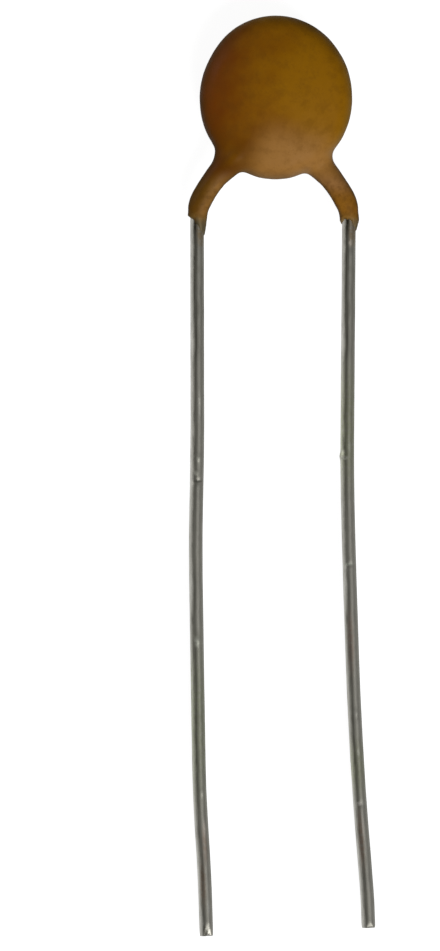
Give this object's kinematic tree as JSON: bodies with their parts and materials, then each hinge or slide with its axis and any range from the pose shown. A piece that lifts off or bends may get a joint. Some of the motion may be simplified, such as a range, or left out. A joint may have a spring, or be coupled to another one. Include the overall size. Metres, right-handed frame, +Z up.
{
  "type": "ceramic disc capacitor",
  "caption": "Round disc ceramic capacitor, dipped in brown resin that runs down onto long, slightly bowed round wire leads.",
  "frame": {"origin": "middle of the box the part fills, on the surface it lies on", "axes": "+Z up through the disc's faces, +Y from the lead tips towards the body, +X across the leads to the right; the part lies on its back face and lead tips, leaning 1.8 degrees"},
  "size_m": [0.0062, 0.0302, 0.0022],
  "materials": {
    "resin_coating": "satin",
    "titanate_ceramic": "matte",
    "fired_silver": "satin",
    "solder": "satin",
    "tinned_wire": "satin"
  },
  "bodies": {
    "root": {"coating": "resin_coating", "dielectric_disc": "titanate_ceramic", "front_electrode": "fired_silver", "back_electrode": "fired_silver", "front_solder": "solder", "back_solder": "solder", "left_lead": "tinned_wire", "right_lead": "tinned_wire"}
  },
  "joints": []
}
